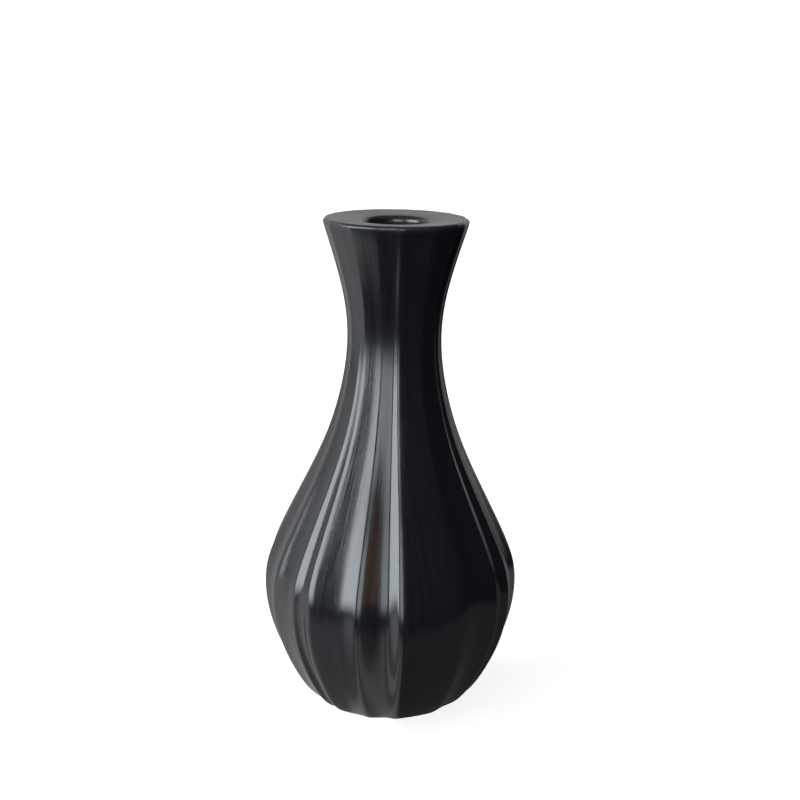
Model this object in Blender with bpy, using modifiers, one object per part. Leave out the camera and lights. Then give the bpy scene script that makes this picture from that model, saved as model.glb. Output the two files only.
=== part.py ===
"""A fluted, narrow-necked vase in burnished black clay (barro negro).

The pot is made the way a hand potter builds it, from five clay sections that are
luted together with slip on bevelled edges: a floor disc, the lower belly, the upper
belly, the neck and the lip ring. The flutes are pressed into the outer face of the
leather-hard wall, so they run on from section to section, and the inside stays plain.
"""
import bpy
import bmesh
from bisect import bisect_right
from math import atan2, cos, hypot, pi, radians, sin

for old in list(bpy.data.objects):
    bpy.data.objects.remove(old)

# ---------------------------------------------------------------- driving dimensions (metres)
HEIGHT = 0.200
WAIST = 0.149            # height of the neck's narrowest place
WALL = 0.0056            # clay left behind the deepest part of a groove, up to the waist
FLOOR = 0.0070           # thickness of the floor disc
FOOT_RADIUS = 0.0265     # flat underside that the pot stands on
FOOT_ROUND = 0.0024      # height of the rounding between the underside and the belly
MOUTH_RADIUS = 0.0127    # edge of the round mouth
LIP_ROUND = 0.0014       # rounding of the lip's outer edge
LIP_DISH = 0.0011        # how far the lip's top face sinks towards the mouth
MOUTH_ROUND = 0.0030     # height of the easing between the bore and the mouth's edge
SEAM_GAP = 0.0003        # slip line between two sections
SEAM_RISE = 0.0030       # height of the bevel on the inner half of a luted edge
UNPRESSED_SHARE = 0.45   # inner share of the wall that the grooves don't move

# Crest outline: (height, radius over the flutes' crests).
CREST = (
    (0.000, 0.0304), (0.006, 0.0366), (0.016, 0.0428), (0.030, 0.0489), (0.045, 0.0521),
    (0.060, 0.0513), (0.076, 0.0447), (0.094, 0.0356), (0.112, 0.0273), (0.130, 0.0217),
    (0.149, 0.0187), (0.166, 0.0196), (0.184, 0.0240), (0.194, 0.0272), (0.200, 0.0289),
)
# Groove depth at the same kind of heights, as a share of the crest radius.
GROOVE_DEPTH = (
    (0.000, 0.030), (0.010, 0.050), (0.025, 0.060), (0.050, 0.060), (0.085, 0.062),
    (0.120, 0.058), (0.149, 0.050), (0.180, 0.044), (0.200, 0.024),
)
# The flutes are pressed by eye, so they are uneven: (groove azimuth, azimuth of the crest
# after it, the groove's strength, how far that crest sinks), the last two at each of the
# press heights. A crest that sinks lets two flutes run together. Azimuths are in degrees
# from the front of the pot (-Y), turning towards +X.
FLUTES = (
    (-92.0, -83.0, (0.9, 0.9, 0.8, 0.7, 0.6), (0.0, 0.0, 0.0, 0.0, 0.0)),
    (-73.0, -63.0, (0.9, 0.8, 0.6, 0.6, 0.6), (0.0, 0.0, 0.0, 0.0, 0.2)),
    (-54.5, -46.5, (0.9, 0.7, 0.6, 0.6, 0.6), (0.0, 0.0, 0.0, 0.0, 0.3)),
    (-42.3, -37.0, (1.1, 0.6, 0.3, 0.2, 0.4), (-0.2, -0.3, -0.1, 0.0, 0.3)),
    (-22.1, -13.7, (0.6, 0.6, 0.9, 0.9, 1.2), (-0.2, 0.0, 0.5, 0.7, 1.0)),
    (-1.5, 4.9, (1.0, 1.3, 1.6, 1.6, 1.6), (-0.2, -0.3, 0.4, 0.3, 0.4)),
    (19.4, 34.0, (0.4, 0.3, 0.9, 0.5, 0.7), (0.0, 0.2, 0.4, 0.2, 0.0)),
    (45.0, 55.5, (0.9, 1.0, 0.9, 0.7, 0.5), (0.0, 0.0, 0.2, 0.1, 0.1)),
    (61.0, 67.0, (1.0, 0.7, 0.6, 0.5, 0.3), (0.0, 0.0, 0.0, 0.0, 0.1)),
    (76.0, 87.0, (0.9, 0.9, 0.8, 0.7, 0.6), (0.0, 0.0, 0.0, 0.0, 0.0)),
    (98.0, 109.0, (0.9, 0.9, 0.9, 0.9, 0.8), (0.0, 0.0, 0.0, 0.0, 0.0)),
    (119.0, 130.0, (1.0, 1.0, 0.9, 0.9, 0.8), (0.0, 0.0, 0.0, 0.0, 0.0)),
    (141.0, 152.0, (0.9, 0.9, 0.8, 0.8, 0.8), (0.0, 0.0, 0.0, 0.0, 0.0)),
    (163.0, 174.0, (1.0, 1.0, 1.0, 0.9, 0.8), (0.0, 0.0, 0.0, 0.0, 0.0)),
    (185.0, 196.0, (1.0, 1.0, 0.9, 0.9, 0.9), (0.0, 0.0, 0.0, 0.0, 0.0)),
    (207.0, 218.0, (0.9, 0.9, 1.0, 1.0, 0.8), (0.0, 0.0, 0.0, 0.0, 0.0)),
    (229.0, 240.0, (1.0, 1.0, 1.0, 0.9, 0.8), (0.0, 0.0, 0.0, 0.0, 0.0)),
    (250.0, 259.0, (0.9, 0.9, 0.8, 0.8, 0.7), (0.0, 0.0, 0.0, 0.0, 0.0)),
)
PRESS_HEIGHTS = (0.012, 0.036, 0.064, 0.092, 0.124)
GROOVE_ROUNDNESS = 1.6     # 1 would press a V-shaped groove, 2 a round one

# ---------------------------------------------------------------- section joints and mesh fineness
BELLY_SEAM = 0.050
SHOULDER_SEAM = 0.108
LIP_SEAM = 0.168
COLUMNS_PER_SIDE = 3      # mesh columns from a groove to the crest beside it
COLUMNS = 2 * COLUMNS_PER_SIDE * len(FLUTES)
LIP_ROUND_STEPS = 3
FOOT_ROUND_STEPS = 3
LIP_OUTER_STEPS = 6
FLOOR_TOP_REACH = 0.94   # flat share of the floor disc's top, before it rises to the wall
FLOOR_TOP_MIDDLE = 0.6
WELD = 0.00001
SHARP_ANGLE = 40         # degrees

# ---------------------------------------------------------------- clay colours
BURNISHED = (0.016, 0.017, 0.022, 1.0)
BURNISHED_LIP = (0.030, 0.031, 0.036, 1.0)
RAW_CLAY = (0.045, 0.044, 0.045, 1.0)


def smooth_curve(points, height):
    """Value at a height on a smooth curve through (height, value) points."""
    heights = [point[0] for point in points]
    values = [point[1] for point in points]
    height = min(max(height, heights[0]), heights[-1])
    right = min(max(bisect_right(heights, height), 1), len(points) - 1)
    left = right - 1

    def slope(index):
        before = max(index - 1, 0)
        after = min(index + 1, len(points) - 1)
        return (values[after] - values[before]) / (heights[after] - heights[before])

    span = heights[right] - heights[left]
    t = (height - heights[left]) / span
    rise = values[right] - values[left]
    start = slope(left) * span
    end = slope(right) * span
    return (values[left] + start * t + (3 * rise - 2 * start - end) * t ** 2
            + (start + end - 2 * rise) * t ** 3)


def crest_radius(height):
    return smooth_curve(CREST, height)


def groove_depth(height):
    return smooth_curve(GROOVE_DEPTH, height)


def inner_radius(height):
    """Radius of the plain inside wall: a wall's thickness behind the grooves up to the
    waist, and a straight bore from there to the mouth."""
    height = min(height, WAIST)
    return crest_radius(height) * (1 - groove_depth(height)) - WALL


def ledge_radius(height):
    """Radius inside which the wall isn't moved by the grooves. A luted edge has a flat
    ledge outside it and a bevel inside it."""
    inside = inner_radius(height)
    return inside + UNPRESSED_SHARE * (crest_radius(height) - inside)


def at_height(levels, height):
    """Read a flute's strength or sink at a height, between the press heights."""
    height = min(max(height, PRESS_HEIGHTS[0]), PRESS_HEIGHTS[-1])
    upper = min(max(bisect_right(PRESS_HEIGHTS, height), 1), len(levels) - 1)
    low = PRESS_HEIGHTS[upper - 1]
    share = (height - low) / (PRESS_HEIGHTS[upper] - low)
    return levels[upper - 1] + share * (levels[upper] - levels[upper - 1])


def column_place(column):
    """Azimuth of a mesh column, its flute, the flute whose crest it runs to, and how far
    it is from the groove (0) to that crest (1)."""
    side, step = divmod(column, COLUMNS_PER_SIDE)
    index = side // 2
    flute = FLUTES[index]
    after = FLUTES[(index + 1) % len(FLUTES)]
    along = step / COLUMNS_PER_SIDE
    if side % 2 == 0:
        return radians(flute[0] + along * (flute[1] - flute[0])), flute, flute, along
    turn = 360.0 if after[0] < flute[1] else 0.0
    azimuth = flute[1] + along * (after[0] + turn - flute[1])
    return radians(azimuth), after, flute, 1 - along


def press(groove, crest, away, height):
    """How far the face is pressed in at a place, as a share of its crest radius."""
    sunk = at_height(crest[3], height)
    pressed = at_height(groove[2], height)
    return groove_depth(height) * (sunk + (pressed - sunk) * (1 - away ** GROOVE_ROUNDNESS))


def press_flutes(mesh):
    """Slide each column to its azimuth and press the grooves into the outer face.

    The push fades to nothing at the ledge radius, and depends only on the place, so two
    sections keep the same gap along their joint.
    """
    for vertex in mesh.vertices:
        x, y, z = vertex.co
        radius = hypot(x, y)
        column = round(atan2(y, x) / (2 * pi) * COLUMNS) % COLUMNS
        ledge = ledge_radius(z)
        share = min(max((radius - ledge) / (crest_radius(z) - ledge), 0.0), 1.0)
        azimuth, groove, crest, away = column_place(column)
        radius *= 1 - share * press(groove, crest, away, z)
        vertex.co = (radius * sin(azimuth), -radius * cos(azimuth), z)


def clay(name, colour, roughness):
    material = bpy.data.materials.new(name)
    material.use_nodes = True
    shader = material.node_tree.nodes["Principled BSDF"]
    shader.inputs["Base Color"].default_value = colour
    shader.inputs["Roughness"].default_value = roughness
    shader.inputs["Metallic"].default_value = 0.0
    material.diffuse_color = colour
    return material


def turned_section(name, profile, material, collection):
    """Turn a closed (radius, height) profile about Z, then press the flutes into it."""
    guide_mesh = bpy.data.meshes.new(name + "_profile")
    edges = [(index, index + 1) for index in range(len(profile) - 1)]
    if profile[0][0] > 0:
        edges.append((len(profile) - 1, 0))
    guide_mesh.from_pydata([(radius, 0.0, height) for radius, height in profile], edges, [])
    guide = bpy.data.objects.new(name + "_profile", guide_mesh)
    collection.objects.link(guide)
    screw = guide.modifiers.new("turn", 'SCREW')
    screw.axis = 'Z'
    screw.angle = 2 * pi
    screw.steps = COLUMNS
    screw.render_steps = COLUMNS
    screw.use_merge_vertices = True
    screw.merge_threshold = WELD
    screw.use_normal_calculate = False

    evaluated = guide.evaluated_get(bpy.context.evaluated_depsgraph_get())
    mesh = bpy.data.meshes.new_from_object(evaluated)
    bpy.data.objects.remove(guide)
    weld(mesh)
    press_flutes(mesh)
    mesh.shade_smooth()
    mesh.set_sharp_from_angle(angle=radians(SHARP_ANGLE))
    mesh.name = name
    section = bpy.data.objects.new(name, mesh)
    section.data.materials.append(material)
    collection.objects.link(section)
    return section


def weld(mesh):
    """Join the turned surface's first and last columns and point its faces outwards."""
    shape = bmesh.new()
    shape.from_mesh(mesh)
    bmesh.ops.remove_doubles(shape, verts=shape.verts, dist=WELD)
    bmesh.ops.recalc_face_normals(shape, faces=shape.faces)
    shape.to_mesh(mesh)
    shape.free()


def heights_between(low, high, steps):
    return [low + (high - low) * step / steps for step in range(steps + 1)]


def edge_above(height):
    """Luted edge at the foot of the section above a joint, from the outside inwards."""
    low = height + SEAM_GAP / 2
    inside = inner_radius(low + SEAM_RISE)
    return [(crest_radius(low), low), (ledge_radius(low), low), (inside, low + SEAM_RISE)]


def edge_below(height):
    """Luted edge at the head of the section below a joint, from the outside inwards."""
    high = height - SEAM_GAP / 2
    inside = inner_radius(high + SEAM_RISE)
    return [(crest_radius(high), high), (ledge_radius(high), high), (inside, high + SEAM_RISE)]


def wall_profile(low, high, outer_steps, inner_steps):
    """Closed profile of a wall section between two joints: down its outer side, in
    across its foot, up its inner side and out across its head."""
    head = edge_below(high)
    foot = edge_above(low)
    outer = heights_between(head[0][1], foot[0][1], outer_steps)[1:-1]
    inner = heights_between(foot[-1][1], head[-1][1], inner_steps)[1:-1]
    profile = [head[0]] + [(crest_radius(height), height) for height in outer] + foot
    profile += [(inner_radius(height), height) for height in inner]
    return profile + [head[2], head[1]]


def make_floor(material, collection):
    """Floor disc: a flat cake of clay, rounded below, with its edge cut to take the
    lower belly."""
    head = edge_below(FLOOR)
    reach = crest_radius(FOOT_ROUND) - FOOT_RADIUS
    profile = [(0.0, FLOOR), (head[2][0] * FLOOR_TOP_MIDDLE, FLOOR)]
    profile.append((head[2][0] * FLOOR_TOP_REACH, FLOOR + SEAM_RISE / 3))
    profile += reversed(head)
    for step in range(FOOT_ROUND_STEPS, -1, -1):
        turn = step / FOOT_ROUND_STEPS * pi / 2
        profile.append((FOOT_RADIUS + reach * sin(turn), FOOT_ROUND * (1 - cos(turn))))
    profile.append((0.0, 0.0))
    return turned_section("floor_disc", profile, material, collection)


def make_lip(material, collection):
    """Lip ring: the flared top of the wall, with a rounded outer edge, a slightly
    dished top face and a round mouth."""
    foot = edge_above(LIP_SEAM)
    corner = HEIGHT - LIP_ROUND
    rounding = []
    for step in range(LIP_ROUND_STEPS, 0, -1):
        turn = step / LIP_ROUND_STEPS * pi / 2
        radius = crest_radius(corner) - LIP_ROUND * (1 - cos(turn))
        rounding.append((radius, corner + LIP_ROUND * sin(turn)))
    mouth_height = HEIGHT - LIP_DISH
    top_face = [(MOUTH_RADIUS, mouth_height)]
    top_face.append(((rounding[0][0] + MOUTH_RADIUS) / 2, HEIGHT - LIP_DISH / 2))
    outer = heights_between(corner, foot[0][1], LIP_OUTER_STEPS)[:-1]
    profile = top_face + rounding + [(crest_radius(height), height) for height in outer] + foot
    profile.append((inner_radius(HEIGHT), mouth_height - MOUTH_ROUND))
    return turned_section("lip_ring", profile, material, collection)


def make_pot():
    pot = bpy.data.collections.new("fluted_vase")
    bpy.context.scene.collection.children.link(pot)
    burnished = clay("burnished_clay", BURNISHED, 0.22)
    burnished_lip = clay("burnished_lip", BURNISHED_LIP, 0.30)
    raw = clay("unburnished_clay", RAW_CLAY, 0.75)

    make_floor(raw, pot)
    sections = (
        ("lower_belly", FLOOR, BELLY_SEAM, 7, 5),
        ("upper_belly", BELLY_SEAM, SHOULDER_SEAM, 8, 5),
        ("neck", SHOULDER_SEAM, LIP_SEAM, 8, 3),
    )
    for name, low, high, outer_steps, inner_steps in sections:
        turned_section(name, wall_profile(low, high, outer_steps, inner_steps), burnished, pot)
    make_lip(burnished_lip, pot)


make_pot()
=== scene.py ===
# %% [markdown]
# # A fluted vase in burnished black clay
# A barro negro pot is one continuous wall of clay. The CAD frame holds it as the five
# sections that the potter lutes together. Once the pot is burnished nobody can see those
# joints, so this lesson models the wall as one skin that stands for all five sections.
# The first cell loads the frame and notes its size, so that the skin's size can be printed
# beside it at the end.

# %% load the frame
from math import atan2, cos, hypot, pi, radians, sin

import bmesh
import bpy
from mathutils import Matrix, Vector


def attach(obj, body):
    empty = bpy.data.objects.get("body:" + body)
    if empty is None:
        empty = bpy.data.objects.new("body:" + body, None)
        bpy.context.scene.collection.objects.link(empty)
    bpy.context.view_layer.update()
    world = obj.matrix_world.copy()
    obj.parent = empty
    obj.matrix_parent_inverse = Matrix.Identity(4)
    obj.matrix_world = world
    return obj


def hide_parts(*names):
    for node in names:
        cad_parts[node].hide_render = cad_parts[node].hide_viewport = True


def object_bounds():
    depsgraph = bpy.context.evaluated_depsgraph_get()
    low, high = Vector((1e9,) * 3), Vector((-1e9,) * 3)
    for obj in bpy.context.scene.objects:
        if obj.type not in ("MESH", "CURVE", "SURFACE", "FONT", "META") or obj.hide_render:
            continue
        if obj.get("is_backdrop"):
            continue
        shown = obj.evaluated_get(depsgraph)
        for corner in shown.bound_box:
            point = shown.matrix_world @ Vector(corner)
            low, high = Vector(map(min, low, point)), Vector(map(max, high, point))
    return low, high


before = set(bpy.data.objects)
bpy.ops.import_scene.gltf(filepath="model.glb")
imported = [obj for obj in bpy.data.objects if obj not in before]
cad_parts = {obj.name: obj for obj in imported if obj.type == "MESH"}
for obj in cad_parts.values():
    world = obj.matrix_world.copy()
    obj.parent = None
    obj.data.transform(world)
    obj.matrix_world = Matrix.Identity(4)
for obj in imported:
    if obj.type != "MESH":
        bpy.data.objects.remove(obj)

CAD_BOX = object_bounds()
HEIGHT = CAD_BOX[1].z
print("the vase is", round(HEIGHT * 1000), "mm tall, from nodes", sorted(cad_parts))

# %% [markdown]
# ## The outline in numbers
# A turned pot is told by its outline: how far the wall stands from the axis at each
# height. It could be drawn as a curve and spun, but the flutes need a mesh column in
# every groove and on every crest, so the outline is kept as a few (height, radius)
# pairs and read between them with a smooth curve.

# %% outline
CREST = (
    (0.000, 0.0304), (0.006, 0.0366), (0.016, 0.0428), (0.030, 0.0489), (0.045, 0.0521),
    (0.060, 0.0513), (0.076, 0.0447), (0.094, 0.0356), (0.112, 0.0273), (0.130, 0.0217),
    (0.149, 0.0187), (0.166, 0.0196), (0.184, 0.0240), (0.194, 0.0272), (0.200, 0.0289),
)
GROOVE_DEPTH = (
    (0.000, 0.030), (0.010, 0.050), (0.025, 0.060), (0.050, 0.060), (0.085, 0.062),
    (0.120, 0.058), (0.149, 0.050), (0.180, 0.044), (0.200, 0.024),
)


def read_curve(points, height):
    """Value at a height on a smooth curve through (height, value) pairs."""
    height = min(max(height, points[0][0]), points[-1][0])
    right = next(i for i, point in enumerate(points) if i and height <= point[0])
    left = right - 1

    def slope(i):
        before, after = points[max(i - 1, 0)], points[min(i + 1, len(points) - 1)]
        return (after[1] - before[1]) / (after[0] - before[0])

    span = points[right][0] - points[left][0]
    t = (height - points[left][0]) / span
    rise = points[right][1] - points[left][1]
    start, end = slope(left) * span, slope(right) * span
    return (points[left][1] + start * t + (3 * rise - 2 * start - end) * t ** 2
            + (start + end - 2 * rise) * t ** 3)


print("belly", round(2000 * read_curve(CREST, 0.05)), "mm wide, neck",
      round(2000 * read_curve(CREST, 0.149)), "mm wide")

# %% [markdown]
# ## The flutes in numbers
# The potter presses each flute with a stick held upright, and spaces them by eye. So each
# flute has a groove azimuth, the azimuth of the sharp crest that follows it, how hard the
# groove is pressed at five heights from the foot to the neck, and how far the crest sinks
# at the same heights. A crest that sinks lets two flutes run together into one facet
# towards the neck, as they do on a hand-pressed pot. Azimuths are in degrees from the
# front of the pot, turning towards +X.

# %% flutes
FLUTES = (
    (-92.0, -83.0, (0.9, 0.9, 0.8, 0.7, 0.6), (0.0, 0.0, 0.0, 0.0, 0.0)),
    (-73.0, -63.0, (0.9, 0.8, 0.6, 0.6, 0.6), (0.0, 0.0, 0.0, 0.0, 0.2)),
    (-54.5, -46.5, (0.9, 0.7, 0.6, 0.6, 0.6), (0.0, 0.0, 0.0, 0.0, 0.3)),
    (-42.3, -37.0, (1.1, 0.6, 0.3, 0.2, 0.4), (-0.2, -0.3, -0.1, 0.0, 0.3)),
    (-22.1, -13.7, (0.6, 0.6, 0.9, 0.9, 1.2), (-0.2, 0.0, 0.5, 0.7, 1.0)),
    (-1.5, 4.9, (1.0, 1.3, 1.6, 1.6, 1.6), (-0.2, -0.3, 0.4, 0.3, 0.4)),
    (19.4, 34.0, (0.4, 0.3, 0.9, 0.5, 0.7), (0.0, 0.2, 0.4, 0.2, 0.0)),
    (45.0, 55.5, (0.9, 1.0, 0.9, 0.7, 0.5), (0.0, 0.0, 0.2, 0.1, 0.1)),
    (61.0, 67.0, (1.0, 0.7, 0.6, 0.5, 0.3), (0.0, 0.0, 0.0, 0.0, 0.1)),
    (76.0, 87.0, (0.9, 0.9, 0.8, 0.7, 0.6), (0.0, 0.0, 0.0, 0.0, 0.0)),
    (98.0, 109.0, (0.9, 0.9, 0.9, 0.9, 0.8), (0.0, 0.0, 0.0, 0.0, 0.0)),
    (119.0, 130.0, (1.0, 1.0, 0.9, 0.9, 0.8), (0.0, 0.0, 0.0, 0.0, 0.0)),
    (141.0, 152.0, (0.9, 0.9, 0.8, 0.8, 0.8), (0.0, 0.0, 0.0, 0.0, 0.0)),
    (163.0, 174.0, (1.0, 1.0, 1.0, 0.9, 0.8), (0.0, 0.0, 0.0, 0.0, 0.0)),
    (185.0, 196.0, (1.0, 1.0, 0.9, 0.9, 0.9), (0.0, 0.0, 0.0, 0.0, 0.0)),
    (207.0, 218.0, (0.9, 0.9, 1.0, 1.0, 0.8), (0.0, 0.0, 0.0, 0.0, 0.0)),
    (229.0, 240.0, (1.0, 1.0, 1.0, 0.9, 0.8), (0.0, 0.0, 0.0, 0.0, 0.0)),
    (250.0, 259.0, (0.9, 0.9, 0.8, 0.8, 0.7), (0.0, 0.0, 0.0, 0.0, 0.0)),
)
PRESS_HEIGHTS = (0.012, 0.036, 0.064, 0.092, 0.124)
GROOVE_ROUNDNESS = 1.6                  # 1 would press a V-shaped groove, 2 a round one
CREST_CRISPNESS = 0.1                   # 0 lets the rounding soften a crest, 1 keeps it sharp
STEPS = (0.0, 0.36, 0.70)               # column places from a groove's bottom to a crest


def column_plan():
    """Every column as (azimuth in radians, groove number, crest number, distance)."""
    plan = []
    for number, (groove, crest, _, _) in enumerate(FLUTES):
        following = (number + 1) % len(FLUTES)
        next_groove = FLUTES[following][0] + (360.0 if following == 0 else 0.0)
        for step in STEPS:
            plan.append((radians(groove + step * (crest - groove)), number, number, step))
        plan.append((radians(crest), number, number, 1.0))
        for step in reversed(STEPS[1:]):
            azimuth = next_groove - step * (next_groove - crest)
            plan.append((radians(azimuth), following, number, step))
    return plan


COLUMNS = column_plan()


def at_height(levels, height):
    """Read one of the five-level settings at a height."""
    height = min(max(height, PRESS_HEIGHTS[0]), PRESS_HEIGHTS[-1])
    for i in range(len(levels) - 1):
        low, high = PRESS_HEIGHTS[i:i + 2]
        if height <= high:
            return levels[i] + (height - low) / (high - low) * (levels[i + 1] - levels[i])


def press(column, height):
    """How much a column is pressed in at a height, as a share of its radius."""
    _, groove, crest, away = column
    sunk = at_height(FLUTES[crest][3], height)
    pressed = at_height(FLUTES[groove][2], height)
    share = sunk + (pressed - sunk) * (1 - away ** GROOVE_ROUNDNESS)
    return read_curve(GROOVE_DEPTH, height) * share


print(len(FLUTES), "flutes,", len(COLUMNS), "mesh columns")

# %% [markdown]
# ## The foot ring
# The wall starts as a circle of clay on the table. A primitive circle has evenly spaced
# points, so each point is slid along the ring to the place of its groove, flank or crest.
# Points are picked by their azimuth, never by number, so the step still works if the
# primitive starts somewhere else.

# %% foot ring
FOOT_RADIUS = 0.0268


def azimuth_of(point):
    """Azimuth from the front of the pot, 0 to 2 pi, turning towards +X."""
    return atan2(point.x, -point.y) % (2 * pi)


def only(vertices):
    """Select just these vertices of the mesh in edit mode."""
    bpy.ops.mesh.select_all(action='DESELECT')
    for vertex in vertices:
        vertex.select_set(True)


def edit_points():
    return bmesh.from_edit_mesh(bpy.context.edit_object.data)


bpy.ops.object.select_all(action='DESELECT')
bpy.ops.mesh.primitive_circle_add(vertices=len(COLUMNS), radius=FOOT_RADIUS, location=(0, 0, 0))
skin = bpy.context.object
skin.name = "burnished_vase"
bpy.ops.object.mode_set(mode='EDIT')
bpy.ops.mesh.select_mode(type='VERT')
ring = sorted(edit_points().verts, key=lambda v: azimuth_of(v.co))
places = sorted(column[0] % (2 * pi) for column in COLUMNS)
for vertex, place in zip(ring, places):
    only([vertex])
    target = Vector((sin(place), -cos(place), 0)) * FOOT_RADIUS
    bpy.ops.transform.translate(value=target - vertex.co)
print("foot ring of", len(ring), "points")

# %% [markdown]
# ## Raising the wall
# The ring is extruded straight up and then scaled about the axis, again and again, which
# is very close to how a coil-built wall grows. A spun outline would give the same wall,
# but then the uneven columns would be lost. Rows are closer together at the foot and at
# the lip, where the outline turns quickly.

# %% raise the outer wall
OUTER_HEIGHTS = (
    0.0007, 0.003, 0.008, 0.014, 0.020, 0.026, 0.032, 0.038, 0.044, 0.050, 0.056, 0.062,
    0.069, 0.077, 0.086, 0.096, 0.107, 0.118, 0.130, 0.142, 0.153, 0.163, 0.172, 0.181,
    0.189, 0.195, 0.1978,
)
FOOT_EASE = 0.0010                                  # the foot's edge is drawn in by this much
LIP_EDGE = ((0.1992, 0.0003), (HEIGHT, 0.0013))     # height, and how far in from the outline
now = {"radius": FOOT_RADIUS, "height": 0.0}


def raise_ring(height, radius):
    """Extrude the selected ring to a new height and scale it to a new radius."""
    bpy.ops.mesh.extrude_region_move(
        TRANSFORM_OT_translate={"value": (0, 0, height - now["height"])})
    factor = radius / now["radius"]
    bpy.ops.transform.resize(value=(factor, factor, 1), center_override=(0, 0, 0))
    now["radius"], now["height"] = radius, height


outer_rows = []
bpy.ops.mesh.select_all(action='SELECT')
for height in OUTER_HEIGHTS:
    ease = FOOT_EASE if height == OUTER_HEIGHTS[0] else 0.0
    raise_ring(height, read_curve(CREST, height) - ease)
    outer_rows.append((height, now["radius"]))
for height, inset in LIP_EDGE:
    raise_ring(height, read_curve(CREST, HEIGHT) - inset)
    outer_rows.append((height, now["radius"]))
print("outer wall of", len(outer_rows), "rows")

# %% [markdown]
# ## Lip, mouth and hollow
# The same ring carries on: inwards over the flat top of the lip, which is dished a little
# towards the mouth, down the straight bore, and out again to follow the belly on the
# inside. A Solidify modifier would give an even wall, but here the inside is plain and
# the flutes are only on the outside, as on the real pot. The floor and the underside are
# closed last.

# %% lip, mouth and hollow
MOUTH_RADIUS = 0.0127
BORE_RADIUS = 0.0121
TOP_FACE = ((0.0262, 0.0001), (0.0215, 0.0004), (0.0165, 0.0007), (0.0139, 0.0010),
            (MOUTH_RADIUS, 0.0016), (0.0122, 0.0032))     # radius, and drop below the top
HOLLOW = ((0.188, BORE_RADIUS), (0.165, BORE_RADIUS), (0.142, BORE_RADIUS), (0.122, 0.0165),
          (0.100, 0.0250), (0.078, 0.0350), (0.060, 0.0410), (0.042, 0.0420),
          (0.026, 0.0375), (0.013, 0.0300), (0.0082, 0.0250), (0.0072, 0.0120))
ON_THE_TABLE = 0.0001                                     # below this height is the foot ring
UNDERSIDE_INSET = 0.004
MERGE_DISTANCE = 0.00001

for radius, drop in TOP_FACE:
    raise_ring(HEIGHT - drop, radius)
for height, radius in HOLLOW:
    raise_ring(height, radius)
bpy.ops.mesh.edge_face_add()
only([v for v in edit_points().verts if v.co.z < ON_THE_TABLE])
bpy.ops.mesh.edge_face_add()
bpy.ops.mesh.inset(thickness=UNDERSIDE_INSET)
bpy.ops.mesh.select_all(action='SELECT')
bpy.ops.mesh.remove_doubles(threshold=MERGE_DISTANCE)
bpy.ops.mesh.normals_make_consistent(inside=False)
print("closed wall of", len(edit_points().faces), "faces")

# %% [markdown]
# ## Pressing the flutes
# Each groove is pressed one row at a time: its points are picked by their place and scaled
# towards the axis, most at the groove's bottom and least on the crests. Scaling only in X
# and Y keeps the row level. Sculpting would do it by hand in the same way. A lattice
# or a wave modifier would space the flutes too evenly for a hand-pressed pot.

# %% press the flutes
SAME_PLACE = 0.00002
points = edit_points()
rows = {}
for height, radius in outer_rows:
    row = [v for v in points.verts
           if abs(v.co.z - height) < SAME_PLACE
           and abs(hypot(v.co.x, v.co.y) - radius) < SAME_PLACE]
    rows[height] = sorted(row, key=lambda v: azimuth_of(v.co))
around_the_pot = sorted(COLUMNS, key=lambda column: column[0] % (2 * pi))
bpy.ops.mesh.select_all(action='DESELECT')
presses = 0
for height, row in rows.items():
    groups = {}
    for vertex, column in zip(row, around_the_pot):
        groups.setdefault(round(press(column, height), 4), []).append(vertex)
    for push, group in groups.items():
        for vertex in group:
            vertex.select_set(True)
        bpy.ops.transform.resize(value=(1 - push, 1 - push, 1), center_override=(0, 0, 0))
        for vertex in group:
            vertex.select_set(False)
        presses += 1

# hold the crests a little when the clay is rounded
for row in rows.values():
    for vertex, column in zip(row, around_the_pot):
        if column[3] == 1.0:
            vertex.select_set(True)
points.select_flush_mode()
for edge in points.edges:
    if edge.verts[0].select and edge.verts[1].select:
        edge.select_set(True)
bpy.ops.transform.edge_crease(value=CREST_CRISPNESS)
bpy.ops.object.mode_set(mode='OBJECT')
print(presses, "presses over", len(rows), "rows")

# %% [markdown]
# ## Rounding the clay
# Two levels of subdivision turn the cage into clay: the grooves become soft channels and
# the crests become narrow rounded ridges, as a stick and a burnishing stone leave them. The
# modifier is applied, so the skin is a plain mesh that anyone can open.

# %% round and smooth
rounding = skin.modifiers.new("rounding", 'SUBSURF')
rounding.levels = 2
rounding.render_levels = 2
bpy.ops.object.modifier_apply(modifier=rounding.name)
bpy.ops.object.shade_smooth()
print("skin of", len(skin.data.polygons), "faces")

# %% [markdown]
# ## Helpers for the finishes
# The clay and the studio are both drawn with shader nodes. These few helpers add a node,
# fill its inputs and link it, so that the finishes below read as a list of what they do.

# %% node helpers
def new_material(name):
    material = bpy.data.materials.new(name)
    material.use_nodes = True
    return material, material.node_tree, material.node_tree.nodes["Principled BSDF"]


def add(tree, kind, inputs=None, **settings):
    """Add a node, set its options and its input values, and link inputs given as sockets."""
    node = tree.nodes.new(kind)
    for name, value in settings.items():
        setattr(node, name, value)
    for name, value in (inputs or {}).items():
        if isinstance(value, bpy.types.NodeSocket):
            tree.links.new(value, node.inputs[name])
        else:
            node.inputs[name].default_value = value
    return node


def noise(tree, vector, scale, detail=4.0, roughness=0.55):
    node = add(tree, "ShaderNodeTexNoise",
               {"Vector": vector, "Scale": scale, "Detail": detail, "Roughness": roughness})
    return node.outputs[0]


def to_range(tree, value, low, high, new_low, new_high):
    node = add(tree, "ShaderNodeMapRange", {"Value": value, "From Min": low, "From Max": high,
                                            "To Min": new_low, "To Max": new_high})
    return node.outputs["Result"]


def maths(tree, operation, first, second):
    return add(tree, "ShaderNodeMath", {0: first, 1: second}, operation=operation).outputs[0]


print("helpers ready")

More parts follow.
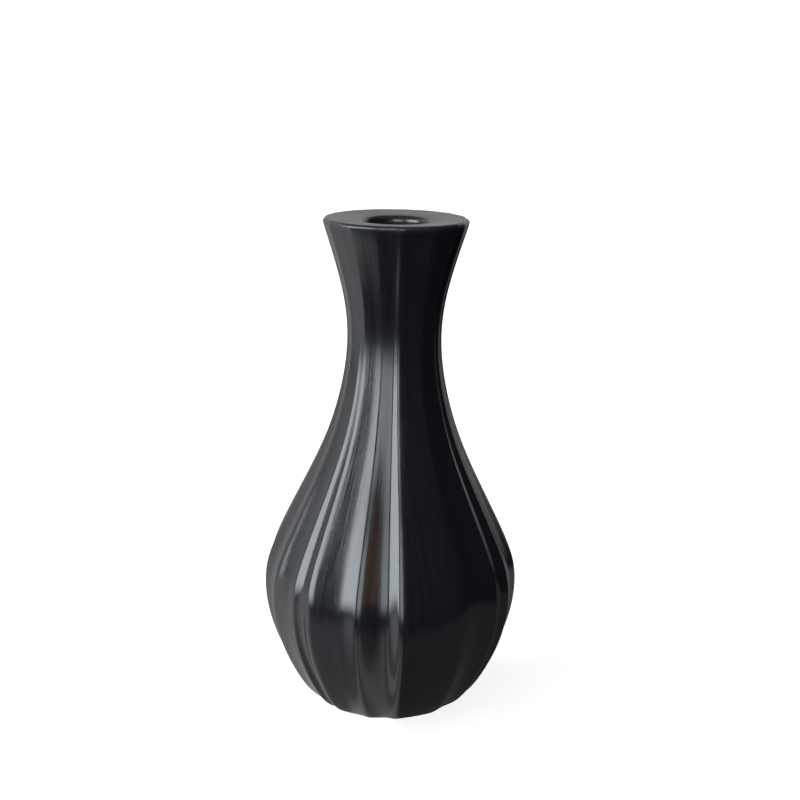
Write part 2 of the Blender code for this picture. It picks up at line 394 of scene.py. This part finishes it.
# %% [markdown]
# ## Burnished clay
# Before firing, the leather-hard pot is rubbed with a smooth stone, in upright strokes
# that follow the flutes, and the smoky kiln turns it black with a soft metallic gloss. An
# image texture would need unwrapping and would show a seam. Instead the strokes are noise
# stretched along the height: the X and Y of the pot's own coordinates are brought to the
# same distance from the axis, so the strokes keep their count from belly to neck.

# %% burnished clay
STROKE_CHANGE = 1.6                      # how fast strokes change along the height
CLAY_DARK = (0.0125, 0.0135, 0.0180, 1)
CLAY_PALE = (0.0240, 0.0250, 0.0300, 1)
# painted reflection: the lip top is painted this lighter grey to stand for the bright room it
# reflects
PAINTED_LIP_REFLECTION_GREY = (0.050, 0.051, 0.055, 1)
CLAY_IOR = 2.0                           # how strongly the burnished face mirrors the room

clay, tree, shader = new_material("burnished_clay")
place = add(tree, "ShaderNodeTexCoord").outputs["Object"]
parts = add(tree, "ShaderNodeSeparateXYZ", {0: place})
flat = add(tree, "ShaderNodeCombineXYZ", {"X": parts.outputs["X"], "Y": parts.outputs["Y"]})
around = add(tree, "ShaderNodeVectorMath", {0: flat.outputs[0]}, operation='NORMALIZE')
lift = add(tree, "ShaderNodeCombineXYZ",
           {"Z": maths(tree, 'MULTIPLY', parts.outputs["Z"], STROKE_CHANGE)})
along = add(tree, "ShaderNodeVectorMath", {0: around.outputs[0], 1: lift.outputs[0]},
            operation='ADD')

# the marks: burnishing strokes, the unevenness of the hand, clay grain, specks, and a lighter
# grey painted on the lip top as a painted reflection of the bright room
strokes = noise(tree, along.outputs[0], 24.0, 6.0, 0.62)
fine_strokes = noise(tree, along.outputs[0], 70.0, 4.0, 0.6)
hand = noise(tree, place, 42.0, 3.0)
grain = noise(tree, place, 900.0, 3.0, 0.6)
specks = to_range(tree, noise(tree, place, 420.0, 2.0), 0.66, 0.74, 0.0, 1.0)
# painted reflection: this mask covers the lip top, where the lighter grey is painted as a
# reflection of the bright room, made patchy by the hand noise
lip_top_reflection_mask = to_range(tree, parts.outputs["Z"], 0.1972, 0.1990, 0.0, 1.0)
painted_lip_reflection = maths(tree, 'MULTIPLY', lip_top_reflection_mask, to_range(tree, hand, 0.35, 0.65, 0.5, 1.0))

# colour
tone = maths(tree, 'ADD', to_range(tree, strokes, 0.3, 0.7, 0.0, 0.6),
             maths(tree, 'MULTIPLY', specks, 0.12))
ramp = add(tree, "ShaderNodeValToRGB", {0: tone})
ramp.color_ramp.elements[0].color = CLAY_DARK
ramp.color_ramp.elements[1].color = CLAY_PALE
# painted reflection: mixes the lighter grey into the lip top's colour
rim = add(tree, "ShaderNodeMix", {"Factor": painted_lip_reflection, "A": ramp.outputs[0], "B": PAINTED_LIP_REFLECTION_GREY},
          data_type='RGBA')

# gloss: rougher between strokes, on specks and on the lip top under the painted reflection
gloss = to_range(tree, strokes, 0.3, 0.7, 0.10, 0.19)
gloss = maths(tree, 'ADD', gloss, maths(tree, 'MULTIPLY', fine_strokes, 0.06))
gloss = maths(tree, 'ADD', gloss, maths(tree, 'MULTIPLY', specks, 0.05))
gloss = maths(tree, 'ADD', gloss, maths(tree, 'MULTIPLY', painted_lip_reflection, 0.12))

# relief
relief = maths(tree, 'ADD', maths(tree, 'MULTIPLY', strokes, 0.35), hand)
relief = maths(tree, 'ADD', relief, maths(tree, 'MULTIPLY', fine_strokes, 0.06))
relief = maths(tree, 'ADD', relief, maths(tree, 'MULTIPLY', grain, 0.012))
bump = add(tree, "ShaderNodeBump", {"Height": relief, "Strength": 0.25, "Distance": 0.0005})
tree.links.new(rim.outputs["Result"], shader.inputs["Base Color"])
tree.links.new(gloss, shader.inputs["Roughness"])
tree.links.new(bump.outputs[0], shader.inputs["Normal"])
shader.inputs["IOR"].default_value = CLAY_IOR
skin.data.materials.append(clay)
print("burnished clay has", len(tree.nodes), "nodes")

# %% [markdown]
# ## Bare clay
# The stone can't reach inside the neck, and nobody burnishes the underside, so there the
# clay stays matt and a little rough from the potter's fingers. The faces are picked by
# their place and by the way they look: those that look at the axis below the mouth, the
# floor of the hollow, and the underside.

# %% bare clay
bare, tree, shader = new_material("bare_clay")
place = add(tree, "ShaderNodeTexCoord").outputs["Object"]
mottle = noise(tree, place, 120.0, 5.0)
grain = noise(tree, place, 1100.0, 3.0)
ramp = add(tree, "ShaderNodeValToRGB", {0: mottle})
ramp.color_ramp.elements[0].color = (0.022, 0.022, 0.024, 1)
ramp.color_ramp.elements[1].color = (0.052, 0.051, 0.052, 1)
bump = add(tree, "ShaderNodeBump", {"Height": maths(tree, 'ADD', mottle, grain), "Strength": 0.4,
                                    "Distance": 0.0006})
tree.links.new(ramp.outputs[0], shader.inputs["Base Color"])
tree.links.new(to_range(tree, mottle, 0.3, 0.7, 0.55, 0.85), shader.inputs["Roughness"])
tree.links.new(bump.outputs[0], shader.inputs["Normal"])
skin.data.materials.append(bare)

MOUTH_DEPTH = 0.003                      # the stone reaches this far into the mouth
FLOOR_HEIGHT = 0.009
UNDERSIDE_HEIGHT = 0.0003
unburnished = 0
for face in skin.data.polygons:
    middle, normal = face.center, face.normal
    faces_the_axis = normal.x * middle.x + normal.y * middle.y < 0
    below_the_mouth = middle.z < HEIGHT - MOUTH_DEPTH
    hollow_floor = middle.z < FLOOR_HEIGHT and normal.z > 0.5
    underside = middle.z < UNDERSIDE_HEIGHT
    if (faces_the_axis and below_the_mouth) or hollow_floor or underside:
        face.material_index = 1
        unburnished += 1
print(unburnished, "faces left unburnished")

# %% [markdown]
# ## Joining the frame
# The skin rides on the only body and stands for all five clay sections, so the plain CAD
# sections are hidden behind it.

# %% join the frame
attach(skin, "root")
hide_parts("floor_disc", "lower_belly", "upper_belly", "neck", "lip_ring")
print(skin.name, "stands for five clay sections")

# %% [markdown]
# ## The studio
# A glossy black pot is drawn by what it reflects. One window pane stands at the left, a
# dimmer one at the front, and pale walls stand behind on both sides. The right stays dark.
# Each is a curved card that only reflections and soft light see, and it fades out towards
# its lower edge. Lamps alone would give small hard spots.

# %% cards
WHITE = (1, 1, 1, 1)
DAYLIGHT = (0.88, 0.97, 1.0, 1)
WARM = (1.0, 0.5, 0.25, 1)
CARD_DISTANCE = 2.0
CARD_STEPS = 12
FADE = (-0.32, 0.12)                     # heights between which a card fades in


def glow(name, colour):
    """A glowing material, whose strength is linked in afterwards."""
    material = bpy.data.materials.new(name)
    material.use_nodes = True
    tree = material.node_tree
    tree.nodes.clear()
    light = add(tree, "ShaderNodeEmission", {"Color": colour})
    output = add(tree, "ShaderNodeOutputMaterial")
    tree.links.new(light.outputs[0], output.inputs[0])
    return material, tree, light


def card(name, corners, material):
    """A flat or curved card given as rows of points."""
    mesh = bpy.data.meshes.new(name)
    wide = len(corners[0])
    faces = [(r * wide + c, r * wide + c + 1, (r + 1) * wide + c + 1, (r + 1) * wide + c)
             for r in range(len(corners) - 1) for c in range(wide - 1)]
    mesh.from_pydata([point for row in corners for point in row], [], faces)
    piece = bpy.data.objects.new(name, mesh)
    bpy.context.scene.collection.objects.link(piece)
    mesh.materials.append(material)
    piece.visible_camera = False
    piece.visible_shadow = False
    piece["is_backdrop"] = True
    return piece


def towards(azimuth, elevation):
    a, e = radians(azimuth), radians(elevation)
    return Vector((sin(a) * cos(e), -cos(a) * cos(e), sin(e)))


def sky_card(name, azimuths, elevations, brightness, colour=WHITE):
    """A curved card that fills a patch of the view from the middle of the pot."""
    middle = Vector((0, 0, HEIGHT / 2))
    start, end = azimuths
    rows_of_points = []
    for elevation in elevations:
        rows_of_points.append([
            middle + towards(start + (end - start) * s / CARD_STEPS, elevation) * CARD_DISTANCE
            for s in range(CARD_STEPS + 1)])
    material, tree, light = glow(name, colour)
    place = add(tree, "ShaderNodeTexCoord").outputs["Object"]
    height = add(tree, "ShaderNodeSeparateXYZ", {0: place}).outputs["Z"]
    soft = to_range(tree, height, *FADE, 0.0, brightness)
    tree.links.new(soft, light.inputs["Strength"])
    return card(name, rows_of_points, material)


sky_card("window_left_pane", (-86, -41), (-13, 29), 3.4, DAYLIGHT)
sky_card("window_right_pane", (-25, 11), (-13, 29), 1.6, DAYLIGHT)
sky_card("warm_wall", (13, 24), (0, 26), 0.3, WARM)
sky_card("wall_left", (-180, -92), (-25, 38), 0.46)
sky_card("wall_right", (130, 180), (-25, 38), 0.50)
print("two window panes and three wall cards")

# %% [markdown]
# ## The table in the reflections
# The lower belly looks down at the table top. It catches window light at the left and front
# and lies in shade at the right, so the card's glow is set by the azimuth around the pot. It
# darkens towards its near edge. A plain grey sheet would leave the lower belly flat.

# %% table in the reflections
TABLE_LIGHT = (
    (-180, 0.36), (-100, 0.42), (-80, 0.60), (-52, 0.50), (-43, 0.18), (-32, 0.16),
    (-27, 0.42), (-18, 0.36), (-12, 0.16), (-8, 0.20), (-3, 0.36), (3, 0.30), (10, 0.05),
    (30, 0.06), (60, 0.07), (110, 0.07), (140, 0.30), (180, 0.36),
)                                        # azimuth, brightness
TABLE_LEFT, TABLE_RIGHT, TABLE_FRONT, TABLE_BACK = -1.0, 0.2, -0.2, 1.0
TABLE_DROP = -0.0004
NEAR_FADE = (-0.19, -0.12)

table_glow, tree, light = glow("table_glow", WHITE)
place = add(tree, "ShaderNodeTexCoord").outputs["Object"]
parts = add(tree, "ShaderNodeSeparateXYZ", {0: place})
forwards = maths(tree, 'MULTIPLY', parts.outputs["Y"], -1.0)
turned = maths(tree, 'ARCTAN2', parts.outputs["X"], forwards)
around = add(tree, "ShaderNodeValToRGB", {0: to_range(tree, turned, -pi, pi, 0.0, 1.0)})
stops = around.color_ramp.elements
stops.remove(stops[-1])
for azimuth, brightness in TABLE_LIGHT:
    stop = stops[0] if azimuth == TABLE_LIGHT[0][0] else stops.new((azimuth + 180) / 360)
    stop.color = (brightness, brightness, brightness, 1)
near = to_range(tree, parts.outputs["Y"], *NEAR_FADE, 0.0, 1.0)
tree.links.new(maths(tree, 'MULTIPLY', around.outputs[0], near), light.inputs["Strength"])
card("table_reflection",
     [[(TABLE_LEFT, TABLE_FRONT, TABLE_DROP), (TABLE_RIGHT, TABLE_FRONT, TABLE_DROP)],
      [(TABLE_LEFT, TABLE_BACK, TABLE_DROP), (TABLE_RIGHT, TABLE_BACK, TABLE_DROP)]], table_glow)
print("table card lit at", len(stops), "azimuths")

# %% [markdown]
# ## Floor, room and lamp
# The floor is a plain pale sheet that fades into the same white as the room, so no horizon
# shows. It is left out of the reflections, because the table card stands for it there. One
# wide lamp above gives the soft shadow at the foot.

# %% floor, room and lamp
FLOOR_SIZE = 40
FLOOR_DROP = -0.0008
LAMP_PLACE = (-0.6, -0.5, 1.5)
LAMP_POWER = 14
LAMP_SIZE = 1.8

bpy.ops.object.select_all(action='DESELECT')
bpy.ops.mesh.primitive_plane_add(size=FLOOR_SIZE, location=(0, 0, FLOOR_DROP))
floor = bpy.context.object
floor.name = "floor"
paper, tree, shader = new_material("floor_paper")
place = add(tree, "ShaderNodeTexCoord").outputs["Object"]
away = add(tree, "ShaderNodeVectorMath", {0: place}, operation='LENGTH').outputs["Value"]
tree.links.new(to_range(tree, away, 0.1, 0.7, 0.84, 1.0), shader.inputs["Emission Strength"])
shader.inputs["Base Color"].default_value = (0.6, 0.6, 0.6, 1)
shader.inputs["Roughness"].default_value = 0.9
shader.inputs["Emission Color"].default_value = WHITE
floor.data.materials.append(paper)
floor.visible_glossy = False
floor.visible_diffuse = False
floor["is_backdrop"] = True

world = bpy.data.worlds.new("room")
bpy.context.scene.world = world
world.use_nodes = True
tree = world.node_tree
tree.nodes.clear()
seen = add(tree, "ShaderNodeBackground", {"Color": WHITE, "Strength": 1.0})
around = add(tree, "ShaderNodeBackground", {"Color": (0.02, 0.022, 0.03, 1), "Strength": 0.6})
eye = add(tree, "ShaderNodeLightPath")
room = add(tree, "ShaderNodeMixShader", {0: eye.outputs["Is Camera Ray"], 1: around.outputs[0],
                                         2: seen.outputs[0]})
add(tree, "ShaderNodeOutputWorld", {0: room.outputs[0]})

bpy.ops.object.light_add(type='AREA', location=LAMP_PLACE)
lamp = bpy.context.object
lamp.data.energy = LAMP_POWER
lamp.data.size = LAMP_SIZE
away_from_the_pot = lamp.location - Vector((0, 0, HEIGHT / 2))
lamp.rotation_euler = away_from_the_pot.to_track_quat('Z', 'Y').to_euler()
lamp.visible_glossy = False
print("floor", FLOOR_SIZE, "m wide, lamp", LAMP_PLACE[2], "m up")

# %% [markdown]
# ## Camera
# The camera looks down a little on the vase from about two and a half heights away, close
# enough that the rim is seen almost edge-on while the foot is seen well from above.

# %% camera
CAMERA_RIGHT, CAMERA_BACK, CAMERA_UP = 0.0134, 2.4, 1.301      # in vase heights
LOOK_DOWN, ROLL = radians(15.53), radians(1.04)
LENS = 55.8                                                    # mm

camera = bpy.data.objects.new("camera", bpy.data.cameras.new("camera"))
bpy.context.scene.collection.objects.link(camera)
camera.data.sensor_width = 36
camera.data.lens = LENS
stand = Matrix.Translation((CAMERA_RIGHT * HEIGHT, -CAMERA_BACK * HEIGHT, CAMERA_UP * HEIGHT))
tilt = Matrix.Rotation(pi / 2 - LOOK_DOWN, 4, 'X') @ Matrix.Rotation(ROLL, 4, 'Z')
camera.matrix_world = stand @ tilt
bpy.context.scene.camera = camera
bpy.context.scene.view_settings.view_transform = 'Standard'
print("camera", round(CAMERA_BACK * HEIGHT * 1000), "mm in front,",
      round(CAMERA_UP * HEIGHT * 1000), "mm up")

# %% [markdown]
# ## The size side by side
# The skin has to agree with the CAD frame that it stands for, so both sizes are printed
# side by side.

# %% sizes and finish
LOOK_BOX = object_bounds()
for name, box in (("frame", CAD_BOX), ("with the skin", LOOK_BOX)):
    low, high = ([round(v * 1000, 1) for v in corner] for corner in box)
    print(name, "from", low, "to", high)
